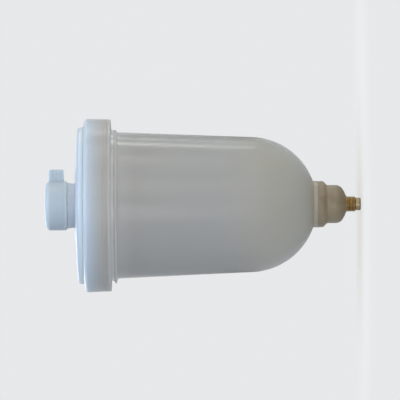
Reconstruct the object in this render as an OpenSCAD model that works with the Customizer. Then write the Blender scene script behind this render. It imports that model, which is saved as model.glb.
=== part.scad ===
// Gravity paint cup with a screw lid and a twist-to-open vent cap.
// The cup hangs upright over a spray gun: +Z points from the outlet to the lid.
// Z = 0 is where the brass nipple leaves the rounded end of the outlet collar.
// Every piece is a revolve of one named profile, with its tabs, keys, ports and ribs cut or added after.

/* [Cup shell] */
// Outer radius of the hemispherical bottom
dome_r = 41.9; // [40:0.1:44]
// Height of the centre of the hemisphere above the collar's end
dome_z = 60.4; // [59:0.1:63]
// Outer radius of the tapered wall just below the neck
wall_top_r = 45.35; // [45:0.05:46.2]
// Height at which the threaded neck starts
neck_z = 142.3; // [138:0.1:142.5]
// Outer radius of the neck, at the root of its thread
neck_r = 46.75; // [46.6:0.05:47.4]
// Height of the open rim
rim_z = 158.4; // [157:0.1:158.5]
// Wall thickness of the shell
cup_wall = 2.2; // [1.6:0.1:2.8]
// Height of the flat inside floor that the lock ring tightens on
floor_z = 24; // [23.6:0.1:25]
// Radius of the boss that the outlet collar seats against
boss_r = 14.4; // [14:0.1:15]
// Height of the face of that boss
boss_z = 18; // [17.6:0.1:18.4]

/* [Outlet collar] */
// Radius of the slim lower drum
drum_r = 11.8; // [11:0.1:12.4]
// Radius of the wide ring under the boss
ring_r = 14.2; // [13.6:0.1:14.3]
// Height where the chamfer between drum and ring starts
chamfer_z = 12.4; // [11.5:0.1:12.8]
// Radius of the large rounding at the collar's end
end_corner = 5.4; // [4.5:0.1:5.6]
// Radius of the shallow dome that closes the collar's end
end_dome_r = 17; // [16:0.5:30]
// Radius of the spigot that passes up through the cup floor
spigot_r = 8; // [7.8:0.1:8.4]
// Height of the top of the spigot
spigot_top_z = 29; // [28.8:0.1:32]
// Radius of the throat that the strainer plugs into
throat_r = 6; // [5.9:0.05:6.2]
// Height of the ledge at the bottom of the throat
throat_z = 7.5; // [7:0.1:8]

/* [Brass nipple] */
// Major radius of the gun thread, a 1/8 inch pipe thread
thread_r = 4.864; // [4.6:0.001:4.9]
// Length of the free thread below the collar
thread_len = 5.2; // [5:0.1:8]
// Radius of the plain tip below the thread
tip_r = 3.9; // [3.4:0.1:4.2]
// Length of the plain tip
tip_len = 3.2; // [2:0.1:4]
// Radius of the paint bore
nipple_bore_r = 1.95; // [1.5:0.05:2.4]

/* [Strainer] */
// Height of the top of the strainer's cage
cage_top_z = 61.5; // [50:0.5:61.5]
// Number of upright ribs round the cage
cage_ribs = 6; // [4:1:8]
// Number of hoops round the cage
cage_hoops = 3; // [2:1:5]
// Width of a rib and height of a hoop
rib_w = 1.1; // [0.8:0.1:1.6]

/* [Lid] */
// Outer radius at the foot of the skirt
skirt_r = 53.35; // [53:0.05:54]
// Outer radius at the top of the skirt
shoulder_r = 53.8; // [53.5:0.05:54.5]
// Height of the foot of the skirt
skirt_z = 146.3; // [145:0.1:147.5]
// Height of the shoulder's face at its outer edge
shoulder_z = 162.4; // [162:0.1:163]
// Radius of the rounding between skirt and shoulder
shoulder_corner = 3.4; // [1.5:0.1:3.6]
// Rise of the shoulder's face towards the crown
shoulder_rise = 0.45; // [0.2:0.05:0.8]
// Bore radius of the skirt, at the root of its thread
lid_bore_r = 50.2; // [49.8:0.1:50.6]
// Outer radius at the foot of the raised crown
crown_r = 48.9; // [48.6:0.1:49.8]
// Height of the crown's rounded edge
crown_z = 166.75; // [166.5:0.05:167.5]
// Height of the middle of the crown
crown_top_z = 168.85; // [168.6:0.05:169.4]
// Wall thickness of the crown
crown_wall = 2.3; // [2:0.1:2.5]
// Thickness of the flat gasket
gasket_t = 1.6; // [1.2:0.1:1.8]

/* [Vent tower and cap] */
// Outer radius of the tower inside the vent cap
tower_r = 13; // [12.6:0.1:13.1]
// Height of the top of the tower
tower_z = 183.2; // [181:0.1:183.4]
// Radius of the splash chamber inside the tower
chamber_r = 10.8; // [10:0.1:11]
// Radius of the plain foot of the tower
foot_r = 13.7; // [13.4:0.1:14]
// Outer radius of the vent cap
cap_r = 15.3; // [15.2:0.05:16]
// Height of the cap's open end
cap_z = 173.4; // [173.3:0.1:174]
// Height of the middle of the cap's roof
cap_top_z = 187.6; // [187.5:0.05:189]
// Reach of the cap's tab from the axis
tab_reach = 22.35; // [20:0.05:26]
// Thickness of the tab
tab_t = 2.6; // [2:0.1:4]
// Number of fine grip ribs on each face of the tab
tab_ribs = 5; // [3:1:6]
// Radius of the air ports
port_r = 1.5; // [1:0.1:1.9]
// Distance of the air ports from the axis
port_offset = 7.6; // [7:0.1:8]
// Turn of the cap between vent shut and vent open
vent_turn = 90; // [60:5:120]

/* [Hidden] */
$fn = 128;
// Free thread, tip and shank of the nipple
nipple_low_z = -thread_len - tip_len;
shank_r = 5.2;
flange_r = 5.8;
flange_z = throat_z + 0.8;
flange_t = 2.2;
tip_corner = min(1.2, tip_r - nipple_bore_r - 0.6);

// The taper is the line that touches the hemisphere and passes through wall_top_r at neck_z
taper = acos(dome_r / norm([wall_top_r, neck_z - dome_z])) - atan2(neck_z - dome_z, wall_top_r);
inner_dome_r = dome_r - cup_wall;
rim_in_r = inner_dome_r / cos(taper) + (rim_z - dome_z) * tan(taper);
lug_span = 12;
lug_reach = 1.9;

// Collar seal groove, sealing against the cup's boss
seal_r = 10.5;
seal_cord_r = 0.74;
seal_groove = 1.5;
seal_half = 1.1;

// Lock ring inside the cup
washer_t = 0.6;
washer_r = 11.5;
nut_z = floor_z + washer_t;
nut_t = 4;
nut_flats = 21.5;

// Strainer sleeve, shoulder and gauze
sleeve_r = throat_r - 0.08;
sleeve_low_z = throat_z + 4.5;
sleeve_in_r = 5.2;
gauze_t = 0.15;
rest_r = 7.8;
rest_t = 1.5;
cage_r = 5.9;
cage_top_t = 1.5;
knob_r = 1.5;
knob_bead_r = 0.7;

// Lid cavity, gasket and thread relief
gasket_z = rim_z + gasket_t;
cavity_r = 45.9;
gasket_in_r = rim_in_r + 0.25;
gasket_out_r = lid_bore_r - 0.35;
lip_heights = [148.2, 150.4];
lip_depth = 0.22;
lip_half = 0.2;

// Crown and its underside
crown_corner = 2.6;
crown_edge_r = crown_r - 0.8 - crown_corner;
crown_rise = crown_top_z - crown_z;
crown_arc_r = (pow(crown_edge_r, 2) + pow(crown_rise, 2)) / (2 * crown_rise);
cavity_corner = 1.5;

// Tower: its floor, the bead under the cap, and the groove of the vent O-ring
tower_floor_z = 169;
bead_low_z = 170.9;
bead_t = 0.35;
cap_bore_r = cap_r - 2;
ring_cord_r = 0.7;
ring_gap = 0.05;
ring_mid_r = cap_bore_r - ring_gap - ring_cord_r;
ring_z = 179.5;
groove_r = ring_mid_r - ring_cord_r;
groove_half = 0.8;

// Stand-pipe of the splash chamber
pipe_hole_r = 5.2;
pipe_bore_r = 1.1;
pipe_r = 2.6;
pipe_flange_r = 7;
pipe_low_z = 164.8;
pipe_top_z = tower_z - 5.2;

// Port disc and cap
disc_t = 1.5;
disc_r = 12.8;
key_w = 2.1;
key_depth = 1.5;
key_gap = 0.15;
cap_roof_z = tower_z + disc_t + 0.1;
cap_corner = 3.2;
cap_rise = 0.75;
cap_arc_r = (pow(cap_r - cap_corner, 2) + pow(cap_rise, 2)) / (2 * cap_rise);
tab_low_z = cap_z + 1.95;
tab_high_z = cap_top_z - 2.6;
tab_corner = 1.3;
tab_rib_r = 0.3;

// Points of a circular arc from angle a to angle b, as [radius, height] pairs
function arc(c, r, a, b, n = 12) =
    [for (i = [0:n]) c + r * [cos(a + (b - a) * i / n), sin(a + (b - a) * i / n)]];

// Height at radius r of a very flat dome whose middle is at top_z
function flat_dome(r, top_z, dome_radius) = top_z - dome_radius + sqrt(pow(dome_radius, 2) - r * r);

module revolve(points, angle = 360) {
    rotate_extrude(angle = angle) polygon(points);
}

// Closed tube of round section bent into a ring
module o_ring(mid_r, cord_r, z) {
    translate([0, 0, z]) rotate_extrude() translate([mid_r, 0]) circle(r = cord_r, $fn = 32);
}

// Flat ring between two radii
module washer(in_r, out_r, z, t) {
    revolve([[in_r, z], [out_r, z], [out_r, z + t], [in_r, z + t]]);
}

// Outside of the cup: boss, hemisphere, tapered wall and neck
function cup_outside() = concat(
    [[spigot_r + 0.1, boss_z], [boss_r - 0.3, boss_z], [boss_r, boss_z + 0.3]],
    arc([0, dome_z], dome_r, -acos(boss_r / dome_r), -taper, 40),
    [[wall_top_r, neck_z], [wall_top_r + 0.3, neck_z + 0.15], [neck_r, neck_z + 0.75]],
    arc([neck_r - 0.6, rim_z - 0.6], 0.6, 0, 90, 4)
);

// Inside of the cup, from the rim down to the floor round the outlet
function cup_inside() = concat(
    arc([rim_in_r + 0.4, rim_z - 0.4], 0.4, 90, 180, 3),
    arc([0, dome_z], inner_dome_r, -taper, -asin((dome_z - floor_z) / inner_dome_r), 36),
    [[spigot_r + 0.1, floor_z]]
);

// Small ramped nib under the skirt, opposite the tab
module stop_lug() {
    rotate([0, 0, 180 - lug_span / 2]) revolve([
        [wall_top_r - 0.2, neck_z - 0.1],
        [neck_r + lug_reach, neck_z + 0.9],
        [neck_r - 0.6, neck_z + 2.2]
    ], lug_span);
}

module cup_shell() {
    color([0.88, 0.9, 0.92, 0.75]) union() {
        revolve(concat(cup_outside(), cup_inside()));
        stop_lug();
    }
}

// Rounded end of the collar: a shallow dome, then a large corner up to the drum
function collar_end() =
    let (
        corner_r = drum_r - end_corner,
        tilt = asin(corner_r / (end_dome_r - end_corner)),
        dome_c = [0, end_dome_r - 0.05],
        corner_c = dome_c + (end_dome_r - end_corner) * [sin(tilt), -cos(tilt)],
        start = asin(shank_r / end_dome_r)
    )
    concat(
        arc(dome_c, end_dome_r, start - 90, tilt - 90, 8),
        arc(corner_c, end_corner, tilt - 90, 0, 14)
    );

module outlet_collar() {
    ring_top_r = boss_r;
    chamfer = ring_r - drum_r;
    color([0.85, 0.8, 0.68]) revolve(concat(
        collar_end(),
        [
            [drum_r, chamfer_z], [ring_r, chamfer_z + chamfer],
            [ring_top_r, boss_z - 0.25], [ring_top_r - 0.25, boss_z],
            [seal_r + seal_half, boss_z], [seal_r + seal_half, boss_z - seal_groove],
            [seal_r - seal_half, boss_z - seal_groove], [seal_r - seal_half, boss_z],
            [spigot_r, boss_z], [spigot_r, spigot_top_z - 0.4],
            [spigot_r - 0.4, spigot_top_z], [throat_r, spigot_top_z],
            [throat_r, throat_z], [shank_r, throat_z]
        ]
    ));
}

module collar_o_ring() {
    color([0.12, 0.12, 0.12]) o_ring(seal_r, seal_cord_r, boss_z - seal_groove / 2);
}

module lock_washer() {
    color([0.95, 0.95, 0.94]) washer(spigot_r + 0.1, washer_r, floor_z, washer_t);
}

// Six-sided nut with chamfered corners
module lock_ring() {
    corner_r = nut_flats / sqrt(3);
    color([0.9, 0.9, 0.88]) difference() {
        intersection() {
            translate([0, 0, nut_z]) cylinder(r = corner_r, h = nut_t, $fn = 6);
            revolve([
                [0, nut_z], [washer_r - 0.3, nut_z], [corner_r + 0.2, nut_z + 0.9],
                [corner_r + 0.2, nut_z + nut_t - 0.9], [washer_r - 0.6, nut_z + nut_t], [0, nut_z + nut_t]
            ]);
        }
        translate([0, 0, nut_z - 1]) cylinder(r = spigot_r, h = nut_t + 2);
    }
}

module nipple_washer() {
    color([0.93, 0.93, 0.9]) washer(shank_r, flange_r, throat_z, flange_z - throat_z);
}

// Tip, free thread at its major radius, plain shank and the flange that the throat ledge holds
module brass_nipple() {
    top_z = flange_z + flange_t;
    color([0.78, 0.6, 0.28]) revolve(concat(
        [[nipple_bore_r + 0.5, nipple_low_z]],
        arc([tip_r - tip_corner, nipple_low_z + tip_corner], tip_corner, -90, 0, 8),
        [
            [tip_r, -thread_len], [thread_r - 0.4, -thread_len], [thread_r, -thread_len + 0.4],
            [thread_r, 0], [shank_r, 0], [shank_r, flange_z], [flange_r, flange_z],
            [flange_r, top_z - 0.4], [flange_r - 0.4, top_z], [nipple_bore_r + 1.2, top_z],
            [nipple_bore_r, top_z - 1.2], [nipple_bore_r, nipple_low_z + 0.5]
        ]
    ));
}

// Upright rib of the strainer cage
module cage_rib(low_z, high_z) {
    depth = cage_r - sleeve_in_r;
    translate([sleeve_in_r, -rib_w / 2, low_z]) cube([depth - 0.1, rib_w, high_z - low_z]);
}

// Sleeve, shoulder, ribs, hoops and closed top with a finger knob
module strainer_cage() {
    rest_z = spigot_top_z;
    open_low_z = rest_z + rest_t;
    roof_z = cage_top_z - cage_top_t;
    pitch = (roof_z - open_low_z) / (cage_hoops + 1);
    color([0.93, 0.93, 0.92]) union() {
        revolve([
            [sleeve_in_r, sleeve_low_z], [sleeve_r - 0.5, sleeve_low_z], [sleeve_r, sleeve_low_z + 0.8],
            [sleeve_r, rest_z], [rest_r, rest_z], [rest_r, open_low_z - 0.3],
            [rest_r - 0.3, open_low_z], [sleeve_in_r, open_low_z]
        ]);
        for (i = [1:cage_hoops])
            washer(sleeve_in_r, cage_r, open_low_z + i * pitch - rib_w / 2, rib_w);
        for (i = [0:cage_ribs - 1])
            rotate([0, 0, i * 360 / cage_ribs]) cage_rib(open_low_z - 0.2, roof_z + 0.2);
        revolve(concat(
            [[0, roof_z], [cage_r, roof_z], [cage_r, cage_top_z - 0.4], [cage_r - 0.4, cage_top_z]],
            [[knob_r, cage_top_z], [knob_r, cage_top_z + 1]],
            arc([knob_r, cage_top_z + 1 + knob_bead_r], knob_bead_r, -90, 90, 8),
            [[0, cage_top_z + 1 + 2 * knob_bead_r]]
        ));
    }
}

module strainer_gauze() {
    color([0.75, 0.78, 0.8]) washer(
        sleeve_in_r - gauze_t, sleeve_in_r, spigot_top_z - 1, cage_top_z - cage_top_t - spigot_top_z + 1
    );
}

module lid_gasket() {
    color([0.96, 0.96, 0.94]) washer(gasket_in_r, gasket_out_r, rim_z, gasket_t);
}

// Skirt and shoulder, with two fine lip lines near the foot
function skirt_outside() = concat(
    [[lid_bore_r + 0.6, skirt_z], [skirt_r - 0.3, skirt_z], [skirt_r, skirt_z + 0.3]],
    [for (z = lip_heights, p = [[0, -lip_half], [-lip_depth, 0], [0, lip_half]]) [skirt_r, z] + p],
    arc([shoulder_r - shoulder_corner, shoulder_z - shoulder_corner], shoulder_corner, 0, 90, 10)
);

// Raised crown: a drafted side, a small corner and a very shallow dome in to the tower
function crown_outside() = concat(
    [[crown_r + 0.3, shoulder_z + shoulder_rise], [crown_r, shoulder_z + shoulder_rise + 0.3]],
    arc([crown_edge_r, crown_z - crown_corner], crown_corner, 12, 85, 7),
    [for (i = [1:12]) let (r = crown_edge_r - (crown_edge_r - foot_r) * i / 12)
        [r, flat_dome(r, crown_top_z, crown_arc_r)]]
);

// Tower: plain foot, bead under the cap, O-ring groove and open top
function tower_outside() = concat(
    [[foot_r, bead_low_z], [foot_r + bead_t, bead_low_z + 0.3]],
    [[foot_r + bead_t, cap_z - 0.4], [foot_r + 0.05, cap_z - 0.1], [tower_r, cap_z - 0.1]],
    [[tower_r, ring_z - groove_half], [groove_r, ring_z - groove_half]],
    [[groove_r, ring_z + groove_half], [tower_r, ring_z + groove_half]],
    [[tower_r, tower_z - 0.3], [tower_r - 0.3, tower_z], [chamber_r, tower_z]]
);

// Splash chamber, stand-pipe's hole, underside of the crown, gasket seat and threaded bore
function lid_inside() =
    let (
        under_z = crown_top_z - crown_wall,
        edge_r = cavity_r - cavity_corner,
        edge_z = flat_dome(edge_r, under_z, crown_arc_r)
    )
    concat(
        [[chamber_r, tower_floor_z], [pipe_hole_r, tower_floor_z]],
        [for (i = [0:10]) let (r = pipe_hole_r + (edge_r - pipe_hole_r) * i / 10)
            [r, flat_dome(r, under_z, crown_arc_r)]],
        arc([edge_r, edge_z - cavity_corner], cavity_corner, 84, 0, 6),
        [[cavity_r, gasket_z], [lid_bore_r, gasket_z], [lid_bore_r, skirt_z + 0.6]]
    );

module lid_shell() {
    color([0.9, 0.93, 0.97]) difference() {
        revolve(concat(skirt_outside(), crown_outside(), tower_outside(), lid_inside()));
        rotate([0, 0, 180]) translate([chamber_r - 1, -key_w / 2 - key_gap, tower_z - key_depth - 0.1])
            cube([4, key_w + 2 * key_gap, key_depth + 1]);
    }
}

// Stand-pipe with a flange: air passes through it, and splashed paint stays in the chamber
module drip_tube() {
    flange_top_z = tower_floor_z + 1.2;
    color([0.93, 0.93, 0.92]) revolve([
        [pipe_bore_r, pipe_low_z], [pipe_hole_r - 0.4, pipe_low_z], [pipe_hole_r, pipe_low_z + 0.4],
        [pipe_hole_r, tower_floor_z], [pipe_flange_r, tower_floor_z],
        [pipe_flange_r, flange_top_z - 0.2], [pipe_flange_r - 0.2, flange_top_z],
        [pipe_r + 0.6, flange_top_z], [pipe_r, flange_top_z + 0.6],
        [pipe_r, pipe_top_z - 0.3], [pipe_r - 0.3, pipe_top_z], [pipe_bore_r, pipe_top_z]
    ]);
}

module vent_o_ring() {
    color([0.12, 0.12, 0.12]) o_ring(ring_mid_r, ring_cord_r, ring_z);
}

// Disc with one off-centre port, keyed into the notch of the tower
module port_disc() {
    color([0.95, 0.95, 0.93]) difference() {
        union() {
            translate([0, 0, tower_z]) cylinder(r = disc_r, h = disc_t);
            rotate([0, 0, 180]) translate([chamber_r + 0.2, -key_w / 2, tower_z - key_depth])
                cube([disc_r - chamber_r - 0.5, key_w, key_depth + 0.5]);
        }
        rotate([0, 0, vent_turn]) translate([port_offset, 0, tower_z - 1])
            cylinder(r = port_r, h = disc_t + 2);
    }
}

// Cap outside: chamfered open end, straight side, large corner and shallow roof
function cap_outside() = concat(
    [[cap_r - 0.9, cap_z], [cap_r - 0.25, cap_z + 0.75], [cap_r, cap_z + 1.5]],
    arc([cap_r - cap_corner, cap_top_z - cap_rise - cap_corner], cap_corner, 0, 84, 14),
    [for (i = [1:8]) let (r = (cap_r - cap_corner) * (1 - i / 8)) [r, flat_dome(r, cap_top_z, cap_arc_r)]]
);

function cap_inside() = concat(
    [[0, cap_roof_z]],
    arc([cap_bore_r - 0.4, cap_roof_z - 0.4], 0.4, 90, 0, 3),
    [[cap_bore_r, cap_z + 0.5], [cap_bore_r + 0.4, cap_z]]
);

// Outline of the tab in radius and height, with a rounded outer corner and a filleted root
function tab_outline() = concat(
    [[cap_bore_r + 0.6, tab_low_z - 0.9], [cap_r - 0.1, tab_low_z - 0.9], [cap_r + 0.2, tab_low_z - 0.4]],
    [[cap_r + 0.7, tab_low_z - 0.1], [cap_r + 1.5, tab_low_z + 0.05], [tab_reach - 0.5, tab_low_z + 0.35]],
    [[tab_reach - 0.1, tab_low_z + 0.5], [tab_reach, tab_low_z + 0.9]],
    arc([tab_reach - tab_corner, tab_high_z - tab_corner - 0.15], tab_corner, 0, 86, 7),
    [[cap_r + 0.2, tab_high_z], [cap_bore_r + 0.6, tab_high_z]]
);

// Fin for the fingers, with fine ribs running outwards on both faces
module cap_tab() {
    rib_low_z = tab_low_z + 0.75;
    rib_pitch = (tab_high_z - 0.7 - rib_low_z) / (tab_ribs + 1);
    rotate([90, 0, 0]) linear_extrude(tab_t, center = true) polygon(tab_outline());
    for (i = [1:tab_ribs], side = [-1, 1])
        translate([cap_r - 0.8, side * tab_t / 2, rib_low_z + i * rib_pitch])
            rotate([0, 90, 0]) cylinder(r = tab_rib_r, h = tab_reach - cap_r - 0.2, $fn = 16);
}

module vent_cap() {
    color([0.86, 0.9, 0.94]) difference() {
        union() {
            revolve(concat(cap_outside(), cap_inside()));
            cap_tab();
        }
        translate([port_offset, 0, cap_roof_z - 1]) cylinder(r = port_r, h = 5);
    }
}

cup_shell();
outlet_collar();
collar_o_ring();
lock_washer();
lock_ring();
nipple_washer();
brass_nipple();
strainer_cage();
strainer_gauze();
lid_gasket();
lid_shell();
drip_tube();
vent_o_ring();
port_disc();
vent_cap();
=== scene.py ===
"""Looks of a milky gravity paint cup with a screw lid, a tabbed vent cap and a brass outlet.

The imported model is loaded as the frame, the shells are modelled again as fine lathed surfaces
with their screw threads, and every piece gets a procedural finish. The cup's axis is the Z axis
and the outlet is at the bottom. Sizes in the classes are millimetres; meshes are in metres.
"""

from __future__ import annotations

import logging
import math
from dataclasses import dataclass, replace
from enum import Enum
from typing import Callable, Sequence

import bpy
import numpy as np
from mathutils import Matrix

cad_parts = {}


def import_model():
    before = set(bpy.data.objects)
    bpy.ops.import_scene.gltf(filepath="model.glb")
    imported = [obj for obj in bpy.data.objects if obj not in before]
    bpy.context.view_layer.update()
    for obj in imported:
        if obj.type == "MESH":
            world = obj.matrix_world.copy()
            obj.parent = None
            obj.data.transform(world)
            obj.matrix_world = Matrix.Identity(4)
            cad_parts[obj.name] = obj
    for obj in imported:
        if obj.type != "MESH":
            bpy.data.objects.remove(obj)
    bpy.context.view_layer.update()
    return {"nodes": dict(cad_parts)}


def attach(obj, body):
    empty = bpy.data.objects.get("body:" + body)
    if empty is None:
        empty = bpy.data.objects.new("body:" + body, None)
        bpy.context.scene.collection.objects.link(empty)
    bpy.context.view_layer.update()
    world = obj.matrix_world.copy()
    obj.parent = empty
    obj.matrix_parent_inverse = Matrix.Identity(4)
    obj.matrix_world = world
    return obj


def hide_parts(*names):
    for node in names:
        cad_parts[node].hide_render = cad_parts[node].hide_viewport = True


LOG = logging.getLogger("paint_cup")
MM = 0.001
FULL_TURN = 2 * math.pi
LONG_STEP = 4.0  # spacing of a profile's points on long smooth runs, in mm
GUARD = 0.22  # place of the extra point beside each end of a straight run, in mm
STRAIGHT = math.radians(176)  # a corner that opens wider than this isn't rounded
FILLET_STEP = 12  # degrees between the points of a rounding
FEWEST_STEPS = 3  # steps that even a small rounding has
EDGE_SHARE = 0.45  # the most of an edge that one rounding takes
OWN_WALL = 0.03  # a point this near to a thread's cylinder lies on it, in mm
WAVE_RATE = 20  # radians that the wave texture turns in a unit of place at scale 1

Array = np.ndarray
Colour = tuple[float, float, float]
Point = Sequence[float]
Object = bpy.types.Object
Material = bpy.types.Material
Socket = bpy.types.NodeSocket


class Body(Enum):
    """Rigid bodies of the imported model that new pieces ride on."""

    CUP = "cup"
    STRAINER = "strainer"
    LID = "lid"
    VENT_CAP = "vent_cap"


class Wall(Enum):
    """Side of a wall that a screw thread stands on: +1 grows outwards, -1 inwards."""

    OUTSIDE = 1
    INSIDE = -1


@dataclass(frozen=True)
class Corner:
    """A corner of a lathe profile.

    Attributes:
        r: Distance from the axis.
        z: Height.
        fillet: Radius of the rounding at this corner.
        step: Spacing of the points on the run that starts here.
    """

    r: float
    z: float
    fillet: float = 0.0
    step: float = 2.5


def arc_corners(centre: tuple[float, float], radius: float, start: float, end: float,
                count: int) -> list[Corner]:
    """Corners along a circular arc, (r, z) = centre + radius (cos a, sin a).

    Args:
        centre: Centre of the arc as radius and height.
        radius: Radius of the arc.
        start: First angle in degrees, from the outward direction.
        end: Last angle in degrees.
        count: Number of corners.

    Returns:
        The corners in order, without roundings.
    """
    return [Corner(centre[0] + radius * math.cos(a), centre[1] + radius * math.sin(a),
                   step=LONG_STEP) for a in np.radians(np.linspace(start, end, count))]


def flat_dome(radius: float, top: float, sphere: float) -> float:
    """Height of a shallow spherical roof, top - sphere + sqrt(sphere^2 - radius^2)."""
    return top - sphere + math.sqrt(sphere**2 - radius**2)


def dome_corners(start: float, end: float, count: int, top: float, sphere: float) -> list[Corner]:
    """Corners at even radii from start to end on a shallow spherical roof."""
    return [Corner(r, flat_dome(r, top, sphere), step=LONG_STEP)
            for r in np.linspace(start, end, count)]


def sphere_through(radius: float, rise: float) -> float:
    """Sphere radius of a cap that rises by `rise` over `radius`, (radius^2 + rise^2) / (2 rise)."""
    return (radius**2 + rise**2) / (2 * rise)


def fillet_points(before: Array, corner: Array, after: Array, radius: float) -> Array:
    """Points of the arc that rounds a corner and touches both of its edges.

    From the centre, the point at share s of the sweep is the sum of the first and the last
    point's directions, weighted by sin((1 - s) sweep) and sin(s sweep) over sin(sweep).

    Args:
        before: Point before the corner.
        corner: The corner itself.
        after: Point after the corner.
        radius: Radius wanted; it shrinks where an edge is too short.

    Returns:
        An array of (r, z) rows, or the corner alone where it is nearly straight.
    """
    back, forth = before - corner, after - corner
    back_len, forth_len = np.linalg.norm(back), np.linalg.norm(forth)
    back, forth = back / back_len, forth / forth_len
    opening = math.acos(float(np.clip(back @ forth, -1, 1)))
    if radius <= 0 or opening > STRAIGHT:
        return corner[None]
    reach = min(radius / math.tan(opening / 2), EDGE_SHARE * back_len, EDGE_SHARE * forth_len)
    radius = reach * math.tan(opening / 2)
    middle = back + forth
    centre = corner + middle / np.linalg.norm(middle) * radius / math.sin(opening / 2)
    first, last = corner + back * reach - centre, corner + forth * reach - centre
    sweep = math.pi - opening
    steps = max(FEWEST_STEPS, math.ceil(math.degrees(sweep) / FILLET_STEP))
    share = np.linspace(0, 1, steps + 1)[:, None]
    arc = np.sin((1 - share) * sweep) * first + np.sin(share * sweep) * last
    return centre + arc / math.sin(sweep)


def run_points(start: Array, end: Array, step: float) -> Array:
    """Inner points of a straight run, with one close to each end so that shading stays flat.

    Args:
        start: First point, left out of the result.
        end: Last point, left out of the result.
        step: Largest spacing.

    Returns:
        An array of (r, z) rows, empty on a short run.
    """
    length = float(np.linalg.norm(end - start))
    if length < 3 * GUARD:
        return np.empty((0, 2))
    count = max(2, math.ceil((length - 2 * GUARD) / step) + 1)
    share = np.linspace(GUARD, length - GUARD, count)[:, None] / length
    return start + (end - start) * share


def profile(corners: Sequence[Corner], closed: bool = True) -> Array:
    """Dense profile through rounded corners.

    Args:
        corners: Corners in order.
        closed: True for the section of a ring, False for a line whose two ends stay sharp.

    Returns:
        An array of (r, z) rows in millimetres.
    """
    points = np.array([[c.r, c.z] for c in corners], float)
    neighbours = zip(np.roll(points, 1, 0), points, np.roll(points, -1, 0), corners)
    rounds = [fillet_points(*three, corner.fillet) for *three, corner in neighbours]
    if not closed:
        rounds[0], rounds[-1] = points[:1], points[-1:]
    rows = []
    for this, following, corner in zip(rounds, rounds[1:] + rounds[:1], corners):
        rows += [this, run_points(this[-1], following[0], corner.step)]
    return np.vstack(rows if closed else rows[:-1])


def grid_faces(rows: int, columns: int, rows_closed: bool, columns_closed: bool) -> Array:
    """Quads of a grid whose vertex (i, j) is number i * columns + j.

    Args:
        rows: Number of rows.
        columns: Number of columns.
        rows_closed: True where the last row joins the first.
        columns_closed: True where the last column joins the first.

    Returns:
        An array of four vertex numbers a face.
    """
    i = np.arange(rows if rows_closed else rows - 1)[:, None]
    j = np.arange(columns if columns_closed else columns - 1)[None, :]
    below, right = (i + 1) % rows, (j + 1) % columns
    corners = (i * columns + j, i * columns + right, below * columns + right, below * columns + j)
    return np.stack(np.broadcast_arrays(*corners), -1).reshape(-1, 4)


@dataclass
class Surface:
    """Vertices in millimetres, and faces as quads whose last two corners may be equal."""

    vertices: Array
    faces: Array

    def joined(self, other: Surface) -> Surface:
        """Both surfaces as one, without welding."""
        return Surface(np.vstack([self.vertices, other.vertices]),
                       np.vstack([self.faces, other.faces + len(self.vertices)]))

    def volume(self) -> float:
        """Enclosed volume, a sixth of the summed triple products, negative if inside out.

        Returns:
            The volume in cubic millimetres.
        """
        a, b, c, d = (self.vertices[self.faces[:, k]] for k in range(4))
        halves = np.cross(b, c) + np.cross(c, d)
        return float(np.einsum("ij,ij->", a, halves) / 6)

    def outwards(self) -> Surface:
        """The surface with its faces outwards, each turned round in place if inside out."""
        return self if self.volume() >= 0 else Surface(self.vertices, self.faces[:, [1, 0, 3, 2]])


@dataclass(frozen=True)
class Places:
    """Angles in radians, radii and heights of the points of a grid round the axis."""

    turn: Array
    radius: Array
    height: Array

    def points(self) -> Array:
        """The points, (x, y, z) = (r cos t, r sin t, z)."""
        return grid_points(self.radius * np.cos(self.turn), self.radius * np.sin(self.turn),
                           self.height)


def grid_points(x: Array, y: Array, z: Array) -> Array:
    """Points of a grid from their coordinates, each spread over the whole grid."""
    return np.stack(np.broadcast_arrays(x, y, z), -1)


def fans(ring: Array, pole: int) -> Array:
    """Triangles, as quads with the pole twice, between a closed ring of vertices and a pole."""
    poles = np.full(len(ring), pole)
    return np.stack([ring, np.roll(ring, -1), poles, poles], -1)


def poled(grid: Array, first: float, last: float) -> Surface:
    """Skin of a grid of rings whose ends are closed by fans to poles on the axis.

    Args:
        grid: Points as rings by points of a ring by 3.
        first: Height of the pole before the first ring.
        last: Height of the pole after the last ring.

    Returns:
        The closed surface, its faces outwards.
    """
    rows, columns = grid.shape[:2]
    count, ring = rows * columns, np.arange(columns)
    vertices = np.vstack([grid.reshape(-1, 3), [[0, 0, first], [0, 0, last]]])
    start = fans(ring, count)[:, [1, 0, 2, 3]]
    end = fans(count - columns + ring, count + 1)
    faces = np.vstack([grid_faces(rows, columns, False, True), start, end])
    return Surface(vertices, faces).outwards()


def lathe(section: Array, segments: int, closed: bool = True,
          shift: Callable[[Places], tuple[Array, Array]] | None = None) -> Surface:
    """Surface of revolution of a profile about the Z axis.

    Args:
        section: Profile as (r, z) rows.
        segments: Number of steps round the axis.
        closed: True for the section of a ring, False for a line whose ends lie on the axis.
        shift: Maps the points' places to their changes of radius and height.

    Returns:
        The closed surface, its faces outwards.
    """
    angle = np.arange(segments) * FULL_TURN / segments
    turn, radius = np.broadcast_arrays(angle[None, :], section[:, :1])
    height = np.broadcast_to(section[:, 1:], radius.shape)
    if shift is not None:
        more_r, more_z = shift(Places(turn, radius, height))
        radius, height = radius + more_r, height + more_z
    grid = Places(turn, radius, height).points()
    if not closed:
        return poled(grid[1:-1], section[0, 1], section[-1, 1])
    return Surface(grid.reshape(-1, 3), grid_faces(*radius.shape, True, True)).outwards()


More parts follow.
